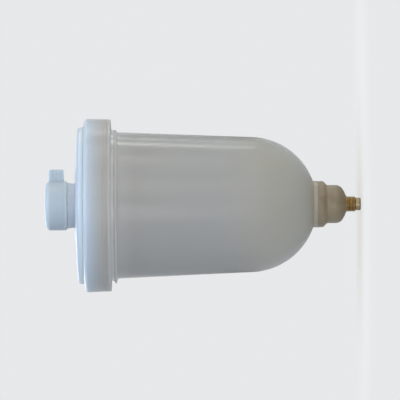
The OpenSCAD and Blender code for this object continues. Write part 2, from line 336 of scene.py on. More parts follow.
@dataclass(frozen=True)
class Thread:
    """A single-start right-hand screw thread as a ridge on a cylinder.

    Attributes:
        root: Radius of the cylinder it stands on.
        depth: Height of the ridge.
        lead: Rise of one turn.
        start: Height of the ridge's middle at angle 0 of its first turn.
        turns: Number of turns.
        crest: Width of the ridge at its top.
        base: Width of the ridge at its root.
        fade: Share of a turn over which each end rises from nothing.
        wall: Side of the wall that it stands on.
    """

    root: float
    depth: float
    lead: float
    start: float
    turns: float
    crest: float
    base: float
    fade: float
    wall: Wall

    def growth(self, at: Places) -> Array:
        """Change of radius on the points that lie on the thread's own cylinder.

        With s = (z - start) / lead - t / 2 pi, the nearest turn is round(s) and the distance to
        its middle is d = |s - round(s)| lead. The ridge is a smoothed trapezium in d, times a
        ramp in at the first turn and out at the last.

        Args:
            at: Places of the points, their angles from 0 to a full turn.

        Returns:
            The change of radius, inwards where the thread is inside.
        """
        along = (at.height - self.start) / self.lead - at.turn / FULL_TURN
        nearest = np.round(along)
        distance = np.abs(along - nearest) * self.lead
        flank = np.clip((self.base / 2 - distance) / ((self.base - self.crest) / 2), 0, 1)
        travelled = nearest + at.turn / FULL_TURN
        risen = np.clip(travelled / self.fade, 0, 1)
        ramp = risen * np.clip((self.turns - travelled) / self.fade, 0, 1)
        ridge = self.depth * flank * flank * (3 - 2 * flank) * np.sin(ramp * math.pi / 2)
        return np.where(np.abs(at.radius - self.root) < OWN_WALL, self.wall.value * ridge, 0.0)


def linked(name: str, data: bpy.types.ID) -> Object:
    """Makes an object and links it into the scene.

    Args:
        name: Name of the object.
        data: Its mesh, lamp or camera.

    Returns:
        The object.
    """
    thing = bpy.data.objects.new(name, data)
    bpy.context.scene.collection.objects.link(thing)
    return thing


def aimed(name: str, data: bpy.types.ID, axes: Sequence[Point], place: Point) -> Object:
    """Makes a lamp's or camera's object, placed and turned.

    Args:
        name: Name of the object.
        data: Its lamp or camera.
        axes: Directions of its own x, y and z axes.
        place: Its place in metres.

    Returns:
        The object.
    """
    thing = linked(name, data)
    basis = np.eye(4)
    basis[:3] = np.transpose([*axes, place])
    thing.matrix_world = Matrix(basis.tolist())
    return thing


def mesh_object(name: str, surface: Surface, smooth: bool = True) -> Object:
    """Writes a surface into the mesh of an object that sits at the origin.

    Args:
        name: Name of the object and of its mesh.
        surface: Its surface in millimetres.
        smooth: True where its faces are shaded as one skin.

    Returns:
        The object.
    """
    pointed = surface.faces[:, 2] == surface.faces[:, 3]
    quads, triangles = surface.faces[~pointed], surface.faces[pointed, :3]
    loops = np.concatenate([quads.ravel(), triangles.ravel()]).astype(np.int32)
    totals = np.repeat([4, 3], [len(quads), len(triangles)])
    starts = np.concatenate([[0], np.cumsum(totals)[:-1]]).astype(np.int32)
    mesh = bpy.data.meshes.new(name)
    mesh.vertices.add(len(surface.vertices))
    mesh.vertices.foreach_set("co", (surface.vertices * MM).astype(np.float32).ravel())
    mesh.loops.add(len(loops))
    mesh.loops.foreach_set("vertex_index", loops)
    mesh.polygons.add(len(totals))
    mesh.polygons.foreach_set("loop_start", starts)
    mesh.polygons.foreach_set("use_smooth", np.full(len(totals), smooth))
    mesh.update(calc_edges=True)
    mesh.validate()
    return linked(name, mesh)


def dress(target: Object, material: Material) -> None:
    """Gives an object one material in all of its slots."""
    target.data.materials.clear()
    target.data.materials.append(material)


@dataclass(frozen=True)
class Role:
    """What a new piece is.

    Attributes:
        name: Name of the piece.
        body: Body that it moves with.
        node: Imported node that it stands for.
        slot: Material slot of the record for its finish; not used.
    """

    name: str
    body: Body
    node: str
    slot: str

    def piece(self, surface: Surface) -> Object:
        """Makes the piece, puts it on its body and hides the node that it stands for.

        Args:
            surface: Its surface in millimetres.

        Returns:
            The object, without a material yet.
        """
        piece = mesh_object(self.name, surface)
        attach(piece, self.body.value)
        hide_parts(self.node)
        LOG.info("%s: %d faces on %s", self.name, len(piece.data.polygons), self.body.value)
        return piece


class NodeTree:
    """Short hand for building the node tree of a material or a world."""

    def __init__(self, owner: Material | bpy.types.World,
                 output: str = "OutputMaterial") -> None:
        """Leaves the tree with an output node alone.

        Args:
            owner: Material or world whose tree is built.
            output: Type of the output node, without its ShaderNode prefix.
        """
        owner.use_nodes = True
        self.owner = owner
        self.tree = owner.node_tree
        self.tree.nodes.clear()
        self.output = self.add(output)

    def add(self, kind: str, settings: dict[str, object] | None = None,
            **inputs: object) -> bpy.types.Node:
        """Adds a node.

        Args:
            kind: Type of the node, without its ShaderNode prefix.
            settings: Attributes of the node.
            **inputs: Values or output sockets by input name, with _ for a space.

        Returns:
            The node.
        """
        node = self.tree.nodes.new("ShaderNode" + kind)
        for key, value in (settings or {}).items():
            setattr(node, key, value)
        for key, value in inputs.items():
            self.feed(node.inputs[key.replace("_", " ")], value)
        return node

    def feed(self, socket: Socket, value: object) -> None:
        """Sets a socket to a value or links an output to it.

        Args:
            socket: Input of a node.
            value: Its number, vector or three-part colour, or the output that leads to it.
        """
        if isinstance(value, Socket):
            self.tree.links.new(value, socket)
        else:
            socket.default_value = (*value, 1.0) if socket.type == "RGBA" else value

    def fed(self, kind: str, values: Sequence[object], **settings: object) -> Socket:
        """First output of a new node whose inputs are fed in their order.

        Args:
            kind: Type of the node, without its ShaderNode prefix.
            values: Values or output sockets of its first inputs.
            **settings: Attributes of the node.

        Returns:
            The output socket.
        """
        node = self.add(kind, settings)
        for socket, value in zip(node.inputs, values):
            self.feed(socket, value)
        return node.outputs[0]

    def place(self) -> Socket:
        """Object coordinates in metres."""
        return self.add("TexCoord").outputs["Object"]

    def ramp(self, factor: Socket, low: float, high: float) -> Socket:
        """A smooth step of a factor from low to high, as a number from 0 to 1."""
        return self.add("MapRange", {"interpolation_type": "SMOOTHSTEP"}, Value=factor,
                        From_Min=low, From_Max=high).outputs["Result"]

    def above(self, start_mm: float, end_mm: float) -> Socket:
        """A smooth step from 0 to 1 between two heights on the cup's axis."""
        height = self.add("SeparateXYZ", Vector=self.place()).outputs["Z"]
        return self.ramp(height, start_mm * MM, end_mm * MM)

    def number(self, factor: Socket, low: float, high: float) -> Socket:
        """A number that goes from low to high as a factor goes from 0 to 1."""
        return self.add("MapRange", Value=factor, To_Min=low, To_Max=high).outputs["Result"]

    def blend(self, factor: Socket, first: Socket | Colour, second: Socket | Colour,
              share: float = 1.0) -> Socket:
        """A colour that leans from one to another.

        Args:
            factor: Number from 0 to 1.
            first: Colour where the factor is 0.
            second: Colour that it leans to.
            share: How far it leans where the factor is 1.

        Returns:
            The colour.
        """
        node = self.add("Mix", {"data_type": "RGBA"})
        reach = factor if share == 1.0 else self.number(factor, 0, share)
        for index, value in ((0, reach), (6, first), (7, second)):
            self.feed(node.inputs[index], value)
        return node.outputs[2]

    def noise(self, cells: float, detail: float, stretch: Point = (1, 1, 1),
              distortion: float = 0.0) -> Socket:
        """Noise on Object coordinates.

        Args:
            cells: Cells in a metre.
            detail: Number of octaves.
            stretch: Scale along each axis, below 1 where the pattern is drawn out.
            distortion: Strength of the swirl.

        Returns:
            The noise as a number about 0.5.
        """
        mapped = self.add("Mapping", Vector=self.place(), Scale=stretch).outputs["Vector"]
        return self.add("TexNoise", Vector=mapped, Scale=cells, Detail=detail,
                        Distortion=distortion).outputs["Fac"]

    def patches(self, low: float, high: float, **noise: object) -> Socket:
        """Patches of a noise, from 0 where it is below low to 1 where it is above high."""
        return self.ramp(self.noise(**noise), low, high)

    def rings(self, rate: float, wander: float = 0.4) -> Socket:
        """Fine bands across the Z axis, as a tool or a mould leaves, that wander slightly.

        Args:
            rate: Radians that the bands' wave turns in a metre.
            wander: Strength of the wandering.

        Returns:
            The bands as a number from 0 to 1.
        """
        return self.add("TexWave", {"wave_type": "BANDS", "bands_direction": "Z"},
                        Vector=self.place(), Scale=rate / WAVE_RATE, Distortion=wander,
                        Detail=2.0, Detail_Scale=3.0).outputs["Fac"]

    def bump(self, height: Socket, depth_mm: float, under: Socket | None = None) -> Socket:
        """Normal of a relief.

        Args:
            height: Relief as a number from 0 to 1.
            depth_mm: Its full height.
            under: Normal of a coarser or finer relief that it lies on.

        Returns:
            The normal.
        """
        extra = {} if under is None else {"Normal": under}
        return self.add("Bump", Height=height, Strength=1.0, Distance=depth_mm * MM,
                        **extra).outputs["Normal"]

    def finish(self, shader: Socket) -> Material | bpy.types.World:
        """Links a shader to the output and returns the owner."""
        self.feed(self.output.inputs["Surface"], shader)
        return self.owner


@dataclass(frozen=True)
class ToneAndPaintedLightBand:
    """A change of colour along the axis: partly the tone of a thicker translucent wall, partly
    painted light and shade, as painted highlights, painted light where shade falls, painted shade
    and a painted cool tint.

    Attributes:
        start_mm: Height at which the change starts.
        end_mm: Height at which it is complete.
        colour: Colour beyond it.
    """

    start_mm: float
    end_mm: float
    colour: Colour


@dataclass(frozen=True)
class MilkyNylon:
    """Translucent white nylon: soft body colour with bands of painted light and shade, faint
    clouding and a smooth moulded skin.

    Attributes:
        name: Name of the material.
        colour: Colour of the lowest part.
        bands: Changes of colour further up, partly wall tone and partly painted light and shade.
        cloud: Colour that the clouded parts lean to.
        depth_mm: Mean distance that light travels inside.
        gloss: Roughness of the smoothest places.
        dull: Roughness of the dullest places.
    """

    name: str
    colour: Colour
    bands: tuple[ToneAndPaintedLightBand, ...]
    cloud: Colour
    depth_mm: float
    gloss: float
    dull: float

    def tone(self, tree: NodeTree) -> Socket | Colour:
        """Body colour with its bands of tone and painted light and shade, from the lowest up.

        Args:
            tree: Tree that takes the nodes.

        Returns:
            The colour.
        """
        tone: Socket | Colour = self.colour
        for band in self.bands:
            tone = tree.blend(tree.above(band.start_mm, band.end_mm), tone, band.colour)
        return tone

    def material(self) -> Material:
        """Builds the material.

        Returns:
            The material.
        """
        tree = NodeTree(bpy.data.materials.new(self.name))
        clouds = tree.patches(0.25, 0.75, cells=14, detail=2)
        flow = tree.patches(0.4, 0.8, cells=70, detail=2, stretch=(1, 1, 0.1))
        wiped = tree.patches(0.3, 0.7, cells=30, detail=3)
        tint = tree.blend(clouds, self.tone(tree), self.cloud, share=0.12)
        skin = tree.bump(tree.noise(cells=700, detail=2), depth_mm=0.0012)
        shader = tree.add(
            "BsdfPrincipled", {"subsurface_method": "RANDOM_WALK"},
            Base_Color=tree.blend(flow, tint, self.cloud, share=0.08),
            Roughness=tree.number(wiped, self.gloss, self.dull),
            Normal=tree.bump(tree.rings(rate=620), depth_mm=0.0008, under=skin),
            IOR=1.5, Specular_IOR_Level=0.34, Subsurface_Weight=1.0,
            Subsurface_Radius=(1.0, 0.95, 0.9), Subsurface_Scale=self.depth_mm * MM)
        return tree.finish(shader.outputs[0])


@dataclass(frozen=True)
class SolidNylon:
    """Dense engineering plastic with turning marks, faint staining and a dull grain.

    Attributes:
        name: Name of the material.
        colour: Main colour.
        stain: Colour of the stained places.
        roughness: Mean roughness.
        marks: Rate of the turning marks, in radians a metre.
        mark_mm: Depth of the turning marks.
        depth_mm: Mean distance that light travels inside.
    """

    name: str
    colour: Colour
    stain: Colour
    roughness: float
    marks: float
    mark_mm: float
    depth_mm: float

    def material(self) -> Material:
        """Builds the material.

        Returns:
            The material.
        """
        tree = NodeTree(bpy.data.materials.new(self.name))
        stains = tree.patches(0.4, 0.75, cells=110, detail=5, distortion=0.8)
        marks = tree.rings(self.marks, wander=0.8)
        tint = tree.blend(stains, self.colour, self.stain)
        wear = tree.noise(cells=240, detail=3)
        grain = tree.bump(tree.noise(cells=1800, detail=2), depth_mm=0.005)
        shader = tree.add(
            "BsdfPrincipled", {"subsurface_method": "RANDOM_WALK"},
            Base_Color=tree.blend(marks, tint, self.stain, share=0.18),
            Roughness=tree.number(wear, self.roughness - 0.09, self.roughness + 0.09),
            Normal=tree.bump(marks, self.mark_mm, grain), IOR=1.5, Subsurface_Weight=0.6,
            Subsurface_Radius=(1.0, 0.8, 0.6), Subsurface_Scale=self.depth_mm * MM)
        return tree.finish(shader.outputs[0])


@dataclass(frozen=True)
class Brass:
    """Machined brass: warm metal, browner in its hollows, with tool rings and handled places.

    Attributes:
        name: Name of the material.
        bright: Colour of the bare metal.
        tarnish: Colour of the browned metal.
        worn: Colour of the tip, rubbed pale.
        root_mm: Radius at and below which the metal is fully browned.
        crest_mm: Radius at and above which it is bare.
        tip_mm: Heights between which the rubbed tip turns into the thread.
    """

    name: str
    bright: Colour
    tarnish: Colour
    worn: Colour
    root_mm: float
    crest_mm: float
    tip_mm: tuple[float, float]

    def material(self) -> Material:
        """Builds the material.

        Returns:
            The material.
        """
        tree = NodeTree(bpy.data.materials.new(self.name))
        flat = tree.add("Mapping", Vector=tree.place(), Scale=(1, 1, 0)).outputs["Vector"]
        radius = tree.add("VectorMath", {"operation": "LENGTH"}, Vector=flat).outputs["Value"]
        bare = tree.ramp(radius, self.root_mm * MM, self.crest_mm * MM)
        patches = tree.patches(0.35, 0.7, cells=330, detail=4, distortion=1.0)
        aged = tree.blend(patches, self.bright, self.tarnish, share=0.55)
        thread = tree.blend(bare, self.tarnish, aged)
        tip = tree.blend(patches, self.worn, self.bright, share=0.3)
        grain = tree.bump(tree.noise(cells=2600, detail=2), depth_mm=0.003)
        shader = tree.add(
            "BsdfPrincipled", Base_Color=tree.blend(tree.above(*self.tip_mm), tip, thread),
            Metallic=1.0, Roughness=tree.number(patches, 0.29, 0.42),
            Normal=tree.bump(tree.rings(rate=5200, wander=0.6), depth_mm=0.003, under=grain))
        return tree.finish(shader.outputs[0])


@dataclass(frozen=True)
class Rubber:
    """Moulded seal or woven thread: matt, faintly mottled, with a dusty bloom.

    Attributes:
        name: Name of the material.
        colour: Main colour.
        bloom: Colour of the bloom.
        roughness: Mean roughness.
    """

    name: str
    colour: Colour
    bloom: Colour
    roughness: float

    def material(self) -> Material:
        """Builds the material.

        Returns:
            The material.
        """
        tree = NodeTree(bpy.data.materials.new(self.name))
        dust = tree.patches(0.45, 0.8, cells=260, detail=5)
        wear = tree.noise(cells=700, detail=2)
        shader = tree.add(
            "BsdfPrincipled", Base_Color=tree.blend(dust, self.colour, self.bloom),
            Roughness=tree.number(wear, self.roughness - 0.08, self.roughness + 0.08),
            Normal=tree.bump(tree.noise(cells=2400, detail=3), depth_mm=0.008))
        return tree.finish(shader.outputs[0])


@dataclass
class Turned:
    """A piece lathed from one closed section, with its build shared by the turned pieces."""

    role: Role
    segments: int

    def corners(self) -> list[Corner]:
        """Section of the piece, given by each kind of piece."""
        raise NotImplementedError

    def growth(self, at: Places) -> Array:
        """Change of radius round the piece, none unless a piece says otherwise."""
        return np.zeros_like(at.radius)

    def lowering(self, at: Places) -> Array:
        """Change of height round the piece, none unless a piece says otherwise."""
        return np.zeros_like(at.radius)

    def build(self, material: Material) -> None:
        """Makes the piece and dresses it.

        Args:
            material: Its finish.
        """
        surface = lathe(profile(self.corners()), self.segments,
                        shift=lambda at: (self.growth(at), self.lowering(at)))
        dress(self.role.piece(surface), material)


@dataclass
class CupShell(Turned):
    """Round-bottomed shell with its boss, tapered wall, threaded neck and stop lug."""

    role: Role = Role("moulded_cup", Body.CUP, "cup_shell", "shell_nylon")
    segments: int = 224
    dome_r: float = 41.9
    dome_z: float = 60.4
    wall_top_r: float = 45.35
    neck_z: float = 142.3
    neck_r: float = 46.75
    neck_rise: float = 0.75
    rim_z: float = 158.4
    wall: float = 2.2
    boss_r: float = 14.4
    boss_z: float = 18.0
    floor_z: float = 24.0
    hole_r: float = 8.1
    outer_rows: int = 44
    inner_rows: int = 34
    lug_reach: float = 1.9
    lug_z: float = 143.3
    lug_half_height: float = 1.3
    lug_half_angle: float = math.radians(6)
    lug_steepness: float = 3.0
    skin: float = 0.4
    thread: Thread = Thread(root=46.75, depth=2.7, lead=5.0, start=145.6, turns=2.2, crest=1.1,
                            base=2.4, fade=0.12, wall=Wall.OUTSIDE)

    def taper(self) -> float:
        """Angle of the wall that touches the round bottom and meets the neck.

        Returns:
            The angle in radians.
        """
        height = self.neck_z - self.dome_z
        span = math.hypot(self.wall_top_r, height)
        return math.acos(self.dome_r / span) - math.atan2(height, self.wall_top_r)

    def corners(self) -> list[Corner]:
        """Section of the shell, up the outside and down the inside.

        Returns:
            The corners in order.
        """
        taper, centre = self.taper(), (0, self.dome_z)
        lean = math.degrees(taper)
        start = -math.degrees(math.acos(self.boss_r / self.dome_r))
        inner_r = self.dome_r - self.wall
        rim_in = inner_r / math.cos(taper) + (self.rim_z - self.dome_z) * math.tan(taper)
        floor_angle = -math.degrees(math.asin((self.dome_z - self.floor_z) / inner_r))
        dome = arc_corners(centre, self.dome_r, start, -lean, self.outer_rows)
        inside = arc_corners(centre, inner_r, -lean, floor_angle, self.inner_rows)
        return [
            Corner(self.hole_r, self.boss_z), Corner(self.boss_r, self.boss_z, fillet=0.35),
            replace(dome[0], fillet=0.6), *dome[1:],
            Corner(self.wall_top_r, self.neck_z, fillet=0.6, step=0.3),
            Corner(self.neck_r, self.neck_z + self.neck_rise, fillet=0.4, step=0.26),
            Corner(self.neck_r, self.rim_z, fillet=0.6),
            Corner(rim_in, self.rim_z, fillet=0.45, step=LONG_STEP),
            *inside, Corner(self.hole_r, self.floor_z, fillet=0.2),
        ]

    def growth(self, at: Places) -> Array:
        """The neck's thread, and the pointed nib of the stop lug opposite the tab.

        The nib is a tent in height times a steep tent in angle, on the outer skin alone.

        Args:
            at: Places of the points.

        Returns:
            The change of radius.
        """
        beside = np.clip(1 - np.abs(at.turn - math.pi) / self.lug_half_angle, 0, 1)
        above = np.clip(1 - np.abs(at.height - self.lug_z) / self.lug_half_height, 0, 1)
        lug = self.lug_reach * above * np.clip(beside * self.lug_steepness, 0, 1)
        outer = at.radius > self.wall_top_r - self.skin
        return self.thread.growth(at) + np.where(outer, lug, 0.0)


@dataclass
class LidShell(Turned):
    """Screw lid: skirt with lip lines, rounded shoulder, raised crown and open vent tower."""

    role: Role = Role("moulded_lid", Body.LID, "lid_shell", "lid_nylon")
    segments: int = 240
    skirt_r: float = 53.35
    skirt_z: float = 146.3
    skirt_foot: float = 0.5
    lip_heights: tuple[float, ...] = (148.2, 150.4)
    lip_half: float = 0.28
    lip_depth: float = 0.15
    shoulder_r: float = 53.8
    shoulder_z: float = 162.4
    shoulder_corner: float = 3.4
    shoulder_rise: float = 0.45
    bore_r: float = 50.2
    bore_chamfer: float = 0.6
    crown_r: float = 48.9
    crown_z: float = 166.75
    crown_top_z: float = 168.85
    crown_wall: float = 2.3
    crown_corner: float = 2.6
    crown_foot: float = 0.1
    crown_draft: float = 0.8
    crown_insets: tuple[float, float] = (0.5, 0.4)
    crown_rows: int = 14
    under_inset: float = 1.6
    under_rows: int = 12
    cavity_r: float = 45.9
    cavity_corner: float = 1.5
    seat_z: float = 160.0
    foot_r: float = 13.7
    tower_r: float = 13.0
    tower_z: float = 183.2
    bead_z: tuple[float, float] = (170.9, 173.3)
    bead_reach: float = 0.35
    bead_slope: float = 0.3
    chamber_r: float = 10.8
    chamber_z: float = 169.0
    groove_r: float = 11.85
    groove_z: tuple[float, float] = (178.7, 180.3)
    tube_r: float = 5.2
    notch_half: float = 1.2
    notch_depth: float = 1.6
    thread: Thread = Thread(root=50.2, depth=2.3, lead=5.0, start=148.1, turns=2.0, crest=1.1,
                            base=2.3, fade=0.12, wall=Wall.INSIDE)

    def crown_sphere(self) -> tuple[float, float]:
        """Radius where the crown's rounding starts, and the radius of its sphere."""
        edge = self.crown_r - self.crown_draft - self.crown_corner
        return edge, sphere_through(edge, self.crown_top_z - self.crown_z)

    def outside(self) -> list[Corner]:
        """Outer section, from the foot of the skirt to the foot of the tower.

        Returns:
            The corners in order.
        """
        edge, sphere = self.crown_sphere()
        lip = ((0, -self.lip_half), (-self.lip_depth, 0), (0, self.lip_half))
        rim, foot = edge - self.crown_insets[0], self.foot_r + self.crown_insets[1]
        return [
            Corner(self.bore_r + self.skirt_foot, self.skirt_z, fillet=0.15),
            Corner(self.skirt_r, self.skirt_z, fillet=0.35),
            *(Corner(self.skirt_r + dr, z + dz, fillet=0.12)
              for z in self.lip_heights for dr, dz in lip),
            Corner(self.shoulder_r, self.shoulder_z, self.shoulder_corner),
            Corner(self.crown_r + self.crown_foot, self.shoulder_z + self.shoulder_rise,
                   fillet=0.6),
            Corner(edge + self.crown_corner, self.crown_z, self.crown_corner),
            *dome_corners(rim, foot, self.crown_rows, self.crown_top_z, sphere),
        ]

    def tower(self) -> list[Corner]:
        """Outer section of the tower, with the bead under the cap and the O-ring groove.

        Returns:
            The corners in order.
        """
        bead_r, (bead_low, bead_high) = self.foot_r + self.bead_reach, self.bead_z
        foot_z = flat_dome(self.foot_r, self.crown_top_z, self.crown_sphere()[1])
        low, high = self.groove_z
        return [
            Corner(self.foot_r, foot_z, fillet=0.4), Corner(self.foot_r, bead_low, fillet=0.15),
            Corner(bead_r, bead_low + self.bead_slope, fillet=0.3),
            Corner(bead_r, bead_high, fillet=0.3),
            Corner(self.tower_r, bead_high), Corner(self.tower_r, low, fillet=0.1),
            Corner(self.groove_r, low), Corner(self.groove_r, high),
            Corner(self.tower_r, high, fillet=0.1), Corner(self.tower_r, self.tower_z, fillet=0.3),
            Corner(self.chamber_r, self.tower_z, fillet=0.1),
        ]

    def inside(self) -> list[Corner]:
        """Inner section: splash chamber, underside of the crown, gasket seat and bore.

        Returns:
            The corners in order.
        """
        top, sphere = self.crown_top_z - self.crown_wall, self.crown_sphere()[1]
        rim = self.cavity_r - self.under_inset
        return [
            Corner(self.chamber_r, self.chamber_z, fillet=0.5),
            Corner(self.tube_r, self.chamber_z),
            *dome_corners(self.tube_r, rim, self.under_rows, top, sphere),
            Corner(self.cavity_r, flat_dome(self.cavity_r, top, sphere), self.cavity_corner),
            Corner(self.cavity_r, self.seat_z, fillet=0.2),
            Corner(self.bore_r, self.seat_z, fillet=0.2, step=0.26),
            Corner(self.bore_r, self.skirt_z + self.bore_chamfer, fillet=0.2),
        ]

    def corners(self) -> list[Corner]:
        """Section of the lid, up the outside and down the inside."""
        return self.outside() + self.tower() + self.inside()

    def growth(self, at: Places) -> Array:
        """Change of radius that makes the bore's thread."""
        return self.thread.growth(at)

    def lowering(self, at: Places) -> Array:
        """Key notch, which brings the tower's rim down to one height opposite the tab.

        Args:
            at: Places of the points, of which only the tower's move.

        Returns:
            The change of height.
        """
        floor = self.tower_z - self.notch_depth
        across = np.abs(at.radius * np.sin(at.turn)) < self.notch_half
        rim = (at.height > floor) & (at.radius < self.foot_r) & (np.cos(at.turn) < 0)
        return np.where(across & rim, floor - at.height, 0.0)


@dataclass
class VentCap:
    """Round cap whose outer skin runs out into one flat, ribbed finger tab."""

    role: Role = Role("moulded_vent_cap", Body.VENT_CAP, "vent_cap", "cap_nylon")
    cap_r: float = 15.3
    bore_r: float = 13.3
    mouth_z: float = 173.4
    mouth_bevel: tuple[float, float] = (0.75, 1.1)
    roof_z: float = 184.8
    roof_corner: float = 0.5
    top_z: float = 187.6
    corner: float = 3.2
    corner_end: float = 86.0
    corner_rows: int = 12
    rise: float = 0.75
    roof_inset: float = 0.5
    roof_rows: int = 14
    tab_reach: float = 22.35
    tab_low: float = 175.35
    tab_high: float = 185.0
    tab_t: float = 2.6
    tab_corner: float = 1.3
    tab_toe: tuple[float, float] = (0.9, 0.02)
    tab_lean: tuple[float, float] = (0.4, 0.12)
    tab_rows: int = 130
    tab_soft: float = 0.28
    soft_start: float = 0.93
    edge_crown: float = 0.12
    least_reach: float = 0.6
    rib_count: int = 5
    rib_height: float = 0.28
    rib_half: float = 0.32
    rib_start: float = 2.7
    rib_run: float = 8.2
    rib_fade: tuple[float, float] = (0.6, 0.5)
    rib_clear: float = 0.3
    port_r: float = 1.5
    port_offset: float = 7.6
    port_spare: float = 2.0
    port_sides: int = 48
    side_columns: int = 26
    edge_columns: int = 7
    round_columns: int = 150
    sharp_angle: float = math.radians(65)

    def below_tab(self) -> Array:
        """Rows from the bore up round the mouth to the tab's lower root.

        Returns:
            An array of (r, z) rows.
        """
        inset, rise = self.mouth_bevel
        return profile([
            Corner(self.bore_r, self.roof_z - self.roof_corner),
            Corner(self.bore_r, self.mouth_z, fillet=0.35),
            Corner(self.cap_r - inset, self.mouth_z, fillet=0.3),
            Corner(self.cap_r, self.mouth_z + rise, fillet=1.2), Corner(self.cap_r, self.tab_low),
        ], closed=False)

    def rounding(self) -> tuple[float, float]:
        """Radius and height of the centre of the cap's rounded corner."""
        return self.cap_r - self.corner, self.top_z - self.rise - self.corner

    def above_tab(self) -> Array:
        """Rows from the tab's upper root over the corner and the roof to the top.

        Returns:
            An array of (r, z) rows.
        """
        inner, shoulder = self.rounding()
        sphere = sphere_through(inner, self.rise)
        start = math.degrees(math.asin((self.tab_high - shoulder) / self.corner))
        return profile([
            *arc_corners((inner, shoulder), self.corner, start, self.corner_end, self.corner_rows),
            *dome_corners(inner - self.roof_inset, 0, self.roof_rows, self.top_z, sphere),
        ], closed=False)

    def root(self) -> Array:
        """Rows of the round side between the tab's roots.

        Returns:
            An array of (r, z) rows.
        """
        inner, shoulder = self.rounding()
        height = np.linspace(self.tab_low, self.tab_high, self.tab_rows)
        over = np.clip(height - shoulder, 0, None)
        return np.stack([inner + np.sqrt(self.corner**2 - over**2), height], -1)

    def tab_outline(self) -> Array:
        """Rows of the tab's outline, spread evenly along it from its lower to its upper root.

        Returns:
            An array of (r, z) rows.
        """
        lower, upper = self.root()[[0, -1]]
        (toe, toe_rise), (low_lean, high_lean) = self.tab_toe, self.tab_lean
        dense = profile([
            Corner(*lower), Corner(self.cap_r + toe, self.tab_low + toe_rise, fillet=0.6),
            Corner(self.tab_reach, self.tab_low + low_lean, fillet=0.6),
            Corner(self.tab_reach, self.tab_high - high_lean, self.tab_corner), Corner(*upper),
        ], closed=False)
        steps = np.linalg.norm(np.diff(dense, axis=0), axis=1)
        travelled = np.concatenate([[0], np.cumsum(steps)])
        even = np.linspace(0, travelled[-1], self.tab_rows)
        return np.stack([np.interp(even, travelled, dense[:, k]) for k in (0, 1)], -1)

    def ribs(self, x: Array, z: Array) -> Array:
        """Fine grip ribs on the tab's faces, raised cosines in z that fade out in x.

        Args:
            x: Distances from the axis along the tab.
            z: Heights.

        Returns:
            Height of the ribs above the face.
        """
        pitch = self.rib_run / (self.rib_count + 1)
        phase = (z - self.mouth_z - self.rib_start) / pitch
        near = np.abs(phase - np.clip(np.round(phase), 1, self.rib_count)) * pitch
        wave = 0.5 + 0.5 * np.cos(near / self.rib_half * math.pi)
        ridge = np.where(near < self.rib_half, wave, 0.0)
        begun = np.clip((x - self.cap_r) / self.rib_fade[0], 0, 1)
        left = np.clip((self.tab_reach - self.rib_clear - x) / self.rib_fade[1], 0, 1)
        return self.rib_height * ridge * begun * left

    def skin(self) -> Surface:
        """Outer and bore skin in one grid.

        Row i of the round columns is the circle of radius r_i at height z_i. In the tab's
        columns the point goes from that circle to the tab's outline, P = (1 - s) A_i + s B_i,
        across the edge of the tab, and back. The ribs push the flat faces outwards. Rows above
        and below the tab are whole circles, on which its columns keep their share of the turn.

        Returns:
            The closed surface.
        """
        low, root, high = self.below_tab()[:-1], self.root(), self.above_tab()[1:-1]
        circle = np.vstack([low, root, high])
        outline = np.vstack([low, self.tab_outline(), high])
        (r, level), (out_r, out_z) = (np.split(rows, 2, 1) for rows in (circle, outline))
        half = self.tab_t / 2 * np.minimum(1, r / root[-1, 0])
        edge = np.arcsin(half / r)
        share = np.linspace(0, 1, self.round_columns + 2)[1:-1]
        turn = edge + (FULL_TURN - 2 * edge) * share[None, :]
        round_part = Places(turn, r, level).points()
        side = np.linspace(0, 1, self.side_columns)[None, :]
        root_x = r * np.cos(edge)
        x, z = root_x + (out_r - root_x) * side, level + (out_z - level) * side
        stands_out = (out_r - root_x) > self.least_reach
        worn = np.clip((side - self.soft_start) / (1 - self.soft_start), 0, 1) ** 2
        soft = np.where(stands_out, self.tab_soft * worn, 0.0)
        near_side = grid_points(x, half - soft + self.ribs(x, z), z)
        across = np.linspace(-1, 1, self.edge_columns + 2)[None, 1:-1]
        reach = out_r + np.where(stands_out, self.edge_crown, 0.0) * (1 - across**2)
        edge_part = grid_points(reach, across * (half - soft[:, -1:]), out_z)
        far_side = near_side * [1, -1, 1]
        tab_part = np.concatenate([far_side, edge_part, near_side[:, ::-1]], 1)
        spread = edge * np.linspace(-1, 1, tab_part.shape[1])[None, :]
        arc = Places(spread, r, level).points()
        flush = np.isclose(circle, outline).all(1)[:, None, None]
        grid = np.concatenate([round_part, np.where(flush, arc, tab_part)], 1)
        return poled(grid, self.roof_z, self.top_z)

    def drill(self, piece: Object) -> None:
        """Cuts the air port through the roof with an exact boolean and keeps its rim crisp.

        Args:
            piece: The cap, whose mesh is replaced.
        """
        low, high = self.roof_z - self.port_spare, self.top_z + self.port_spare
        pin = lathe(np.array([[0, low], [self.port_r, low], [self.port_r, high], [0, high]]),
                    self.port_sides, closed=False)
        pin.vertices[:, 0] += self.port_offset
        tool = mesh_object("port_drill", pin, smooth=False)
        cut = piece.modifiers.new("port", "BOOLEAN")
        cut.operation, cut.solver, cut.object = "DIFFERENCE", "EXACT", tool
        graph = bpy.context.evaluated_depsgraph_get()
        drilled = bpy.data.meshes.new_from_object(piece.evaluated_get(graph))
        drilled.set_sharp_from_angle(angle=self.sharp_angle)
        piece.modifiers.remove(cut)
        piece.data = drilled
        bpy.data.objects.remove(tool)

    def build(self, material: Material) -> None:
        """Makes the cap, drills it and dresses it.

        Args:
            material: Its finish.
        """
        piece = self.role.piece(self.skin())
        self.drill(piece)
        dress(piece, material)


